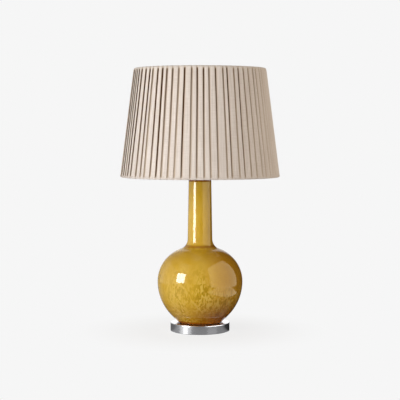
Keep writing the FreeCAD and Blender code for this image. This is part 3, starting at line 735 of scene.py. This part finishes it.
def shadeRows(bottomRadius, topRadius, bottom, top):
    # rows of the cloth from the inside of the lower hem to the inside of the upper one:
    # radius, height, way in which the pleats sink, share of the pleats' depth
    rows = hemRows(bottomRadius, bottom, 1)
    taper = (topRadius - bottomRadius) / (top - bottom)
    margin = pleats["hemRoll"] + pleats["hemGap"]
    for step in range(1, pleats["wallRows"]):
        share = step / pleats["wallRows"]
        share = share - pleats["gather"] * math.sin(2 * math.pi * share)
        height = bottom + margin + share * (top - bottom - 2 * margin)
        fade = min(1.0, min(height - bottom, top - height) / pleats["hemFade"])
        depth = pleats["hemDepth"] + (1 - pleats["hemDepth"]) * fade * fade * (3 - 2 * fade)
        rows.append((bottomRadius + taper * (height - bottom), height, (-1, 0), depth))
    return rows + hemRows(topRadius, top, -1)[::-1]


def wanderingFolds(pitch):
    # how each fold strays from its place, its depth and the strength of its painted groove shade
    chance = random.Random(pleats["seed"])
    return [
        {
            "shift": chance.uniform(-1, 1) * pleats["uneven"] * pitch,
            "lean": chance.uniform(-1, 1) * pleats["lean"] * pitch,
            "phase": chance.uniform(0, 2 * math.pi),
            "depth": chance.uniform(*pleats["depths"]),
            "tone": chance.uniform(*pleats["tones"]),
        }
        for _ in range(pleats["count"])
    ]


def foldEdges(folds, pitch, rise):
    # the angle of each fold's start at one row, and the first one again a turn later
    edges = []
    for number, fold in enumerate(folds):
        sway = pleats["sway"] * pitch * math.sin(fold["phase"] + pleats["swayTurn"] * rise)
        stray = fold["shift"] + fold["lean"] * (rise - 0.5) + sway
        edges.append(math.radians(pleats["first"]) + number * pitch + stray)
    return edges + [edges[0] + 2 * math.pi]


def pleatPoints(rows, bottom, top, bottomRadius):
    # the points row by row, their places on the flat cloth, how much painted groove shade they take, and the
    # cloth's size
    pitch = 2 * math.pi / pleats["count"]
    fullWidth = pitch * bottomRadius
    folds = wanderingFolds(pitch)
    points, cloth, creaseShades = [], [], []
    travel = 0.0
    for index, (radius, height, way, depthShare) in enumerate(rows):
        if index:
            travel += math.hypot(radius - rows[index - 1][0], height - rows[index - 1][1])
        rise = (height - bottom) / (top - bottom)
        edges = foldEdges(folds, pitch, rise)
        underlap = pleats["underlap"] + (fullWidth - pitch * radius) / 2
        # painted shade in the grooves: stronger towards the upper edge, weaker at the hems
        hemCreaseShade = pleats["creaseHem"] + (1 - pleats["creaseHem"]) * (2 * depthShare - 1)
        rowCreaseShade = pleats["creaseLow"] + (1 - pleats["creaseLow"]) * rise
        rowCreaseShade *= max(pleats["creaseLeast"], hemCreaseShade)
        used = 0.0
        for number, fold in enumerate(folds):
            width = (edges[number + 1] - edges[number]) * radius
            step = pleats["step"] * depthShare * fold["depth"]
            last = None
            for along, depth, crease in foldSection(width, underlap, step):
                angle = edges[number] + along / radius
                out = radius + way[0] * depth
                points.append((out * math.cos(angle), out * math.sin(angle), height + way[1] * depth))
                creaseShades.append(min(1.0, crease * rowCreaseShade * fold["tone"]))
                if last:
                    used += math.hypot(along - last[0], depth - last[1])
                last = (along, depth)
                cloth.append((used, travel))
            used += math.hypot(width - underlap - last[0], step - last[1])
    clothWidth = pleats["count"] * (fullWidth + 2 * pleats["underlap"])
    return points, cloth, creaseShades, clothWidth, travel


def makePleatedShade():
    low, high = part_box("pleated_cover")
    bottomRadius = (high[0] - low[0]) / 2 - pleats["inset"]
    bottom, top = low[2], high[2]
    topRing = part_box("shade_top_ring")[1]
    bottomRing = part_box("shade_bottom_ring")[1]
    ringTaper = (topRing[0] - bottomRing[0]) / (topRing[2] - bottomRing[2])
    topRadius = bottomRadius + ringTaper * (top - bottom)
    rows = shadeRows(bottomRadius, topRadius, bottom, top)
    points, cloth, creaseShades, clothWidth, travel = pleatPoints(rows, bottom, top, bottomRadius)
    count = len(points) // len(rows)
    faces = []
    for row in range(len(rows) - 1):
        for column in range(count):
            here = row * count + column
            beside = row * count + (column + 1) % count
            faces.append((here, beside, beside + count, here + count))
    mesh = bpy.data.meshes.new("pleatedShade")
    mesh.from_pydata(points, [], faces)
    uv = mesh.uv_layers.new(name="cloth")
    for face in mesh.polygons:
        for corner, loop in enumerate(face.loop_indices):
            vertex = mesh.loops[loop].vertex_index
            across, along = cloth[vertex]
            if vertex % count == 0 and corner in (1, 2):
                across = clothWidth  # the cloth's far edge meets its near one here
            uv.data[loop].uv = (across, along)
    mesh.attributes.new("crease", "FLOAT", "POINT").data.foreach_set("value", creaseShades)
    piece = bpy.data.objects.new("pleatedShade", mesh)
    bpy.context.scene.collection.objects.link(piece)
    applyModifier(piece, "SOLIDIFY", thickness=pleats["cloth"], offset=0.0)
    smoothFaces(piece, pleats["smooth"])
    finishPiece(piece, "shade", linen)
    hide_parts("pleated_cover")
    print("pleated shade:", len(mesh.vertices), "points, cloth", round(clothWidth, 3), "by", round(travel, 3))
    return piece


shade = makePleatedShade()


jarShape = {
    "bellyRadius": 0.0950,
    "bellyRise": 0.0910,
    "lowerArc": 0.1083,
    "shoulderArc": 0.0763,
    "footCone": 0.0150,  # height of the straight flare under the lower arc
    "footRounding": 0.0030,
    "footRing": 0.5,  # a ring of points under the foot, at this share of its radius
    "neckRoot": 0.0276,
    "neckTop": 0.0253,
    "neckFillet": 0.0240,
    "neckRows": (0.15, 0.3, 0.45, 0.6, 0.75, 0.9),
    "lipRounding": 0.0018,
    "lipChamfer": 0.0006,  # at the bore
    "neckWall": 0.0045,
    "wall": 0.0050,
    "insideTurn": 74,  # degrees of the shoulder's arc that the inside follows
    "floor": 0.0060,
    "stemHole": 0.0065,
    "steps": {"foot": 6, "lower": 26, "shoulder": 28, "sweep": 14, "lip": 6, "inside": 12},
    "segments": 192,
    "smooth": 35,
}


def makeJar():
    shape = jarShape
    steps = shape["steps"]
    low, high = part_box("jar")
    foot, lip = low[2], high[2]
    belly = foot + shape["bellyRise"]
    lowerCentre = (shape["bellyRadius"] - shape["lowerArc"], belly)
    upperCentre = (shape["bellyRadius"] - shape["shoulderArc"], belly)
    # straight flare, tangent to the lower arc, and the rounding at its foot
    coneRise = shape["bellyRise"] - shape["footCone"]
    coneReach = math.sqrt(shape["lowerArc"] ** 2 - coneRise**2)
    coneStart = -math.degrees(math.asin(coneRise / shape["lowerArc"]))
    footRadius = lowerCentre[0] + coneReach - shape["footCone"] * coneRise / coneReach
    footRound = shape["footRounding"]
    footTurn = 90 + coneStart
    footInset = footRound * math.tan(math.radians(footTurn / 2))
    footCentre = (footRadius - footInset, foot + footRound)
    # sweep from the shoulder to the neck
    sweep = shape["neckFillet"]
    sweepRadius = shape["neckRoot"] + sweep
    reach = shape["shoulderArc"] + sweep
    sweepHeight = belly + math.sqrt(reach**2 - (sweepRadius - upperCentre[0]) ** 2)
    sweepEnd = math.degrees(math.atan2(sweepHeight - belly, sweepRadius - upperCentre[0]))
    lean = math.degrees(math.atan((shape["neckRoot"] - shape["neckTop"]) / (lip - sweepHeight)))
    lipRound = shape["lipRounding"]
    # the outside, from the stem hole to the lip
    rings = [(shape["stemHole"], foot), (footRadius * shape["footRing"], foot)]
    rings += arcRings(footCentre, footRound, -90, footTurn - 90, steps["foot"])
    rings += arcRings(lowerCentre, shape["lowerArc"], coneStart, 0, steps["lower"])
    rings += arcRings(upperCentre, shape["shoulderArc"], 0, sweepEnd, steps["shoulder"])[1:]
    rings += arcRings((sweepRadius, sweepHeight), sweep, 180 + sweepEnd, 180 + lean, steps["sweep"])[1:]
    for share in shape["neckRows"]:
        height = sweepHeight + share * (lip - lipRound - sweepHeight)
        rings.append((shape["neckRoot"] + (shape["neckTop"] - shape["neckRoot"]) * share, height))
    rings += arcRings((shape["neckTop"] - lipRound, lip - lipRound), lipRound, 0, 90, steps["lip"])
    # the inside, from the lip to the floor
    bore = shape["neckTop"] - shape["neckWall"]
    lowerInside, upperInside = shape["lowerArc"] - shape["wall"], shape["shoulderArc"] - shape["wall"]
    floorTurn = math.degrees(math.asin((shape["floor"] - shape["bellyRise"]) / lowerInside))
    rings += [(bore + shape["lipChamfer"], lip), (bore, lip - shape["lipChamfer"])]
    rings += [(shape["neckRoot"] - shape["neckWall"], sweepHeight)]
    rings += arcRings(upperCentre, upperInside, shape["insideTurn"], 0, steps["inside"])
    rings += arcRings(lowerCentre, lowerInside, 0, floorTurn, steps["inside"])[1:]
    rings += [(shape["stemHole"], foot + shape["floor"])]
    piece = turnRings("ochreJar", rings, shape["segments"])
    smoothFaces(piece, shape["smooth"])
    finishPiece(piece, "lamp_body", ochreGlaze)
    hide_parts("jar")
    print("jar:", len(piece.data.vertices), "points")
    return piece


jar = makeJar()


baseShape = {
    "wall": 0.0015,
    "edge": 0.0016,  # rounding of the top edge
    "edgeSteps": 8,
    "rimRound": 0.0003,
    "sideRow": 0.002,  # a ring of points on the side, above the rim
    "besideEdge": 0.0006,  # and rings on both sides of the rounded edge
    "topRows": (0.66, 0.3),  # rings on the top, as shares of the radius
    "stemHole": 0.0065,
    "inletBore": 0.0047,
    "inletHeight": 0.0100,
    "inletDepth": 0.012,
    "inletSegments": 48,
    "segments": 240,
    "smooth": 30,
}


def makeBaseCap():
    shape = baseShape
    low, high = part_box("base_cap")
    radius, bottom, top = high[0], low[2], high[2]
    inside = radius - shape["wall"]
    edge, rim, beside = shape["edge"], shape["rimRound"], shape["besideEdge"]
    rings = [(inside, bottom + rim), (inside + rim, bottom), (radius - rim, bottom), (radius, bottom + rim)]
    rings += [(radius, bottom + shape["sideRow"]), (radius, top - edge - beside)]
    rings += arcRings((radius - edge, top - edge), edge, 0, 90, shape["edgeSteps"])
    rings += [(radius - edge - beside, top)]
    rings += [(radius * share, top) for share in shape["topRows"]] + [(shape["stemHole"], top)]
    rings += [(shape["stemHole"], top - shape["wall"]), (inside, top - shape["wall"])]
    piece = turnRings("chromedBase", rings, shape["segments"])
    # the hole for the flex inlet, at the back
    deselectAll()
    bpy.ops.mesh.primitive_cylinder_add(
        vertices=shape["inletSegments"], radius=shape["inletBore"], depth=shape["inletDepth"],
        location=(0, radius, shape["inletHeight"]), rotation=(math.pi / 2, 0, 0),
    )
    drill = bpy.context.object
    settle(drill)
    applyModifier(piece, "BOOLEAN", operation="DIFFERENCE", object=drill, solver="EXACT")
    bpy.data.objects.remove(drill)
    smoothFaces(piece, shape["smooth"])
    finishPiece(piece, "lamp_body", chrome)
    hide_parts("base_cap")
    print("base:", len(piece.data.vertices), "points")
    return piece


base = makeBaseCap()


studio = {
    "cameraPlace": (0.0, -2.781, 0.4529),
    "cameraTilt": 3.297,
    "lens": 112.48,
    "sensor": 36,
    "rearFill": (0.46, 0.46, 0.46, 1),  # soft light from all round
    "frontFill": (0.29, 0.215, 0.145, 1),
    "fillSpan": (-0.15, 0.55),  # from the front's to the rear's
}
room = {
    # grey that shiny surfaces see: left, front, right, behind on the left and on the right
    "wall": (0.85, 0.25, 0.04, 0.40, 0.02),
    "nearTable": (0.36, 0.28, 0.27, 0.15, 0.02),
    "farTable": (0.70, 0.08, 0.02, 0.35, 0.02),
    "tint": 1.01,  # of their blue
    # where one tone turns into the next, across (left -1, right 1) or towards the back (1)
    "leftToFront": (-0.85, -0.10),
    "frontToRight": (0.15, 0.85),
    "acrossRear": (-0.30, 0.30),
    "frontToRear": (-0.30, 0.10),
    "backdrop": (0.94, 0.985),  # the white background stands straight behind
}
roomSides = ("Left", "Front", "Right", "Left rear", "Right rear")


def makeRoomTones():
    # what stands round the lamp: the white background straight behind, and a dimmer room elsewhere
    tree, n, put, out = newGroup(
        "roomTones", {side: ("NodeSocketColor", None) for side in roomSides}, {"Color": "NodeSocketColor"}
    )
    level = n.add("ShaderNodeVectorMath", {1: (1, 1, 0)}, operation="MULTIPLY")
    n.link(put["Vector"], level.inputs[0])
    way = n.add("ShaderNodeVectorMath", operation="NORMALIZE")
    n.link(level.outputs[0], way.inputs[0])
    parts = n.split(way.outputs[0])
    across, back = parts[0], parts[1]
    tone = n.mix(n.span(across, *room["leftToFront"]), put["Left"], put["Front"])
    tone = n.mix(n.span(across, *room["frontToRight"]), tone, put["Right"])
    rear = n.mix(n.span(across, *room["acrossRear"]), put["Left rear"], put["Right rear"])
    tone = n.mix(n.span(back, *room["frontToRear"]), tone, rear)
    n.link(n.mix(n.span(back, *room["backdrop"]), tone, white), out["Color"])
    return tree


roomTones = makeRoomTones()


def roomTone(n, place, part):
    greys = {side: (grey, grey, grey * room["tint"], 1) for side, grey in zip(roomSides, room[part])}
    return n.group(roomTones, place, greys)["Color"]


floorLook = {
    "size": 40,
    "height": -0.0002,  # just under the foot pad
    "surface": {"Base Color": (0.88, 0.88, 0.88, 1), "Roughness": 1.0},
    "tableSpan": (0.16, 0.32),  # the near table's tones turn into the far one's between these distances
    "shadowSpan": (0.30, 0.06),  # the paper's own shading, which holds the shadow, fades in inwards
    "shadow": 0.14,  # up to this share
}


def makeFloor():
    look = floorLook
    deselectAll()
    bpy.ops.mesh.primitive_plane_add(size=look["size"], location=(0, 0, look["height"]))
    floor = bpy.context.object
    floor.name = "paleFloor"
    material, n, shader = newMaterial("palePaper", look["surface"])
    path = n.add("ShaderNodeLightPath").outputs
    place = n.objectPlace()
    reach = n.length(place)
    table = n.mix(
        n.span(reach, *look["tableSpan"]), roomTone(n, place, "nearTable"), roomTone(n, place, "farTable")
    )
    glow = n.add("ShaderNodeEmission")
    n.link(n.mix(path["Is Glossy Ray"], white, table), glow.inputs["Color"])
    near = n.span(reach, *look["shadowSpan"], 0.0, look["shadow"])
    seen = n.largest(path["Is Camera Ray"], path["Is Transmission Ray"])
    keep = n.largest(n.times(seen, n.math("SUBTRACT", 1.0, near)), path["Is Glossy Ray"])
    blend = n.add("ShaderNodeMixShader")
    n.fill(blend.inputs, (keep, shader.outputs[0], glow.outputs[0]))
    n.link(blend.outputs[0], material.node_tree.nodes["Material Output"].inputs["Surface"])
    floor.data.materials.append(material)


def makeWorld():
    world = bpy.data.worlds.new("studioWorld")
    bpy.context.scene.world = world
    world.use_nodes = True
    n = Nodes(world.node_tree)
    path = n.add("ShaderNodeLightPath").outputs
    way = n.add("ShaderNodeTexCoord").outputs["Generated"]
    back = n.split(way)[1]
    fill = n.mix(n.span(back, *studio["fillSpan"]), studio["frontFill"], studio["rearFill"])
    shown = n.mix(path["Is Glossy Ray"], white, roomTone(n, way, "wall"))
    seen = n.largest(path["Is Camera Ray"], path["Is Transmission Ray"], path["Is Glossy Ray"])
    n.link(n.mix(seen, fill, shown), world.node_tree.nodes["Background"].inputs["Color"])


plain = (1.0, 1.0, 1.0)
warm = (1.0, 0.90, 0.62)
panels = {
    # side is the angle to the right of the camera's side of the lamp, in degrees
    "keyPanel": {
        "side": -33, "distance": 1.7, "height": 0.60, "size": (1.5, 1.3), "power": 22.6,
        "colour": (1.0, 0.995, 0.985), "diffuse": True,
    },
    "leftRim": {
        "side": -100, "distance": 1.7, "height": 0.60, "size": (1.0, 1.3), "power": 4.0,
        "colour": plain, "diffuse": True, "only": [shade],
    },
    "warmPanel": {
        "side": 95, "distance": 1.5, "height": 0.60, "size": (0.8, 1.0), "power": 9.0,
        "colour": (1.0, 0.88, 0.73), "diffuse": True, "only": [shade],
    },
    "windowPanel": {
        "side": -53.7, "distance": 1.5, "height": 0.52, "size": (0.64, 0.78), "power": 30,
        "colour": plain, "glossy": True,
    },
    "leftScrim": {
        "side": -102, "distance": 1.0, "height": 0.30, "size": (1.1, 1.0), "power": 2.0,
        "colour": plain, "glossy": True, "only": [jar],
    },
    "sideBox": {
        "side": 68, "distance": 0.55, "height": 0.42, "size": (1.0, 1.0), "power": 7.4,
        "colour": warm, "glossy": True, "only": [jar],
    },
    "edgeBox": {
        "side": 66, "distance": 0.60, "height": 0.50, "size": (1.0, 0.7), "power": 9,
        "colour": plain, "glossy": True, "only": [base],
    },
    "backdropBand": {
        "side": 180, "distance": 3.0, "height": 1.1, "size": (3.0, 1.9), "power": 7,
        "colour": plain, "glossy": True, "only": [base],
    },
}
flats = {
    # these lie on the table, at a place across and towards the back, turned about the vertical in degrees
    "boxSkirt": {
        "place": (0.37, -0.17), "turn": 65, "size": (0.48, 0.36), "glow": 2.2, "colour": warm, "only": [jar],
    },
}
flatHeight = 0.0008  # of the lights on the table
fans = {
    # side as above, half the angle that the fan spreads over in degrees, and how it glows
    "lowBand": {"side": -29.0, "spread": 4.5, "glow": 1.25},
    "lowGlow": {"side": -29.0, "spread": 12.5, "glow": 0.40},
    "rightGlow": {"side": 24.0, "spread": 10.0, "glow": 0.13},
}
fanStrips = ((0.0, 0.025), (0.025, 0.06), (0.06, 0.12))  # their distances from the base


def addLight(name, place, turn, size, power, colour, diffuse=False, glossy=False, only=()):
    deselectAll()
    bpy.ops.object.light_add(type="AREA", location=place)
    panel = bpy.context.object
    panel.name = name
    panel.rotation_euler = turn
    panel.data.shape = "RECTANGLE"
    panel.data.size, panel.data.size_y = size
    panel.data.energy = power
    panel.data.color = colour
    panel.visible_camera = False
    panel.visible_diffuse = diffuse
    panel.visible_glossy = glossy
    panel.visible_transmission = False
    if only:
        # flag boards keep this panel's light to these pieces
        flagged = bpy.data.collections.new(name + "Lit")
        for piece in only:
            flagged.objects.link(piece)
        panel.light_linking.receiver_collection = flagged


def addPanel(name, side, distance, height, **light):
    # a panel that stands round the lamp and faces its axis
    angle = math.radians(side)
    place = Vector((distance * math.sin(angle), -distance * math.cos(angle), height))
    turn = (Vector((0, 0, height)) - place).to_track_quat("-Z", "Y").to_euler()
    addLight(name, place, turn, **light)


def addFlat(name, place, turn, size, glow, colour, only):
    # a light on the table, seen only in the pieces it is meant for
    place = (place[0], place[1], flatHeight)
    turn = (math.pi, 0, math.radians(turn))
    power = glow * math.pi * size[0] * size[1]
    addLight(name, place, turn, size, power, colour, glossy=True, only=only)


def addFan(name, side, spread, glow):
    # lights that widen away from the base along the line on which its side mirrors the table
    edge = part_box("base_cap")[1][0]
    angle = math.radians(side)
    start = Vector((edge * math.sin(angle), -edge * math.cos(angle)))
    way = Vector((math.sin(2 * angle), -math.cos(2 * angle)))
    for index, (near, far) in enumerate(fanStrips):
        middle = (near + far) / 2
        wide = 2 * math.radians(spread) * (edge * math.cos(angle) + 2 * middle)
        addFlat(name + str(index), start + way * middle, 2 * side, (wide, far - near), glow, plain, [base])


def makeLights():
    for name, panel in panels.items():
        addPanel(name, **panel)
    for name, flat in flats.items():
        addFlat(name, **flat)
    for name, fan in fans.items():
        addFan(name, **fan)


def makeCamera():
    deselectAll()
    bpy.ops.object.camera_add(location=studio["cameraPlace"])
    camera = bpy.context.object
    camera.rotation_euler = (math.radians(90 - studio["cameraTilt"]), 0, 0)
    camera.data.sensor_fit = "HORIZONTAL"
    camera.data.sensor_width = studio["sensor"]
    camera.data.lens = studio["lens"]
    bpy.context.scene.camera = camera


makeFloor()
makeWorld()
makeLights()
makeCamera()
bpy.context.scene.view_settings.view_transform = "Standard"
print("studio set")
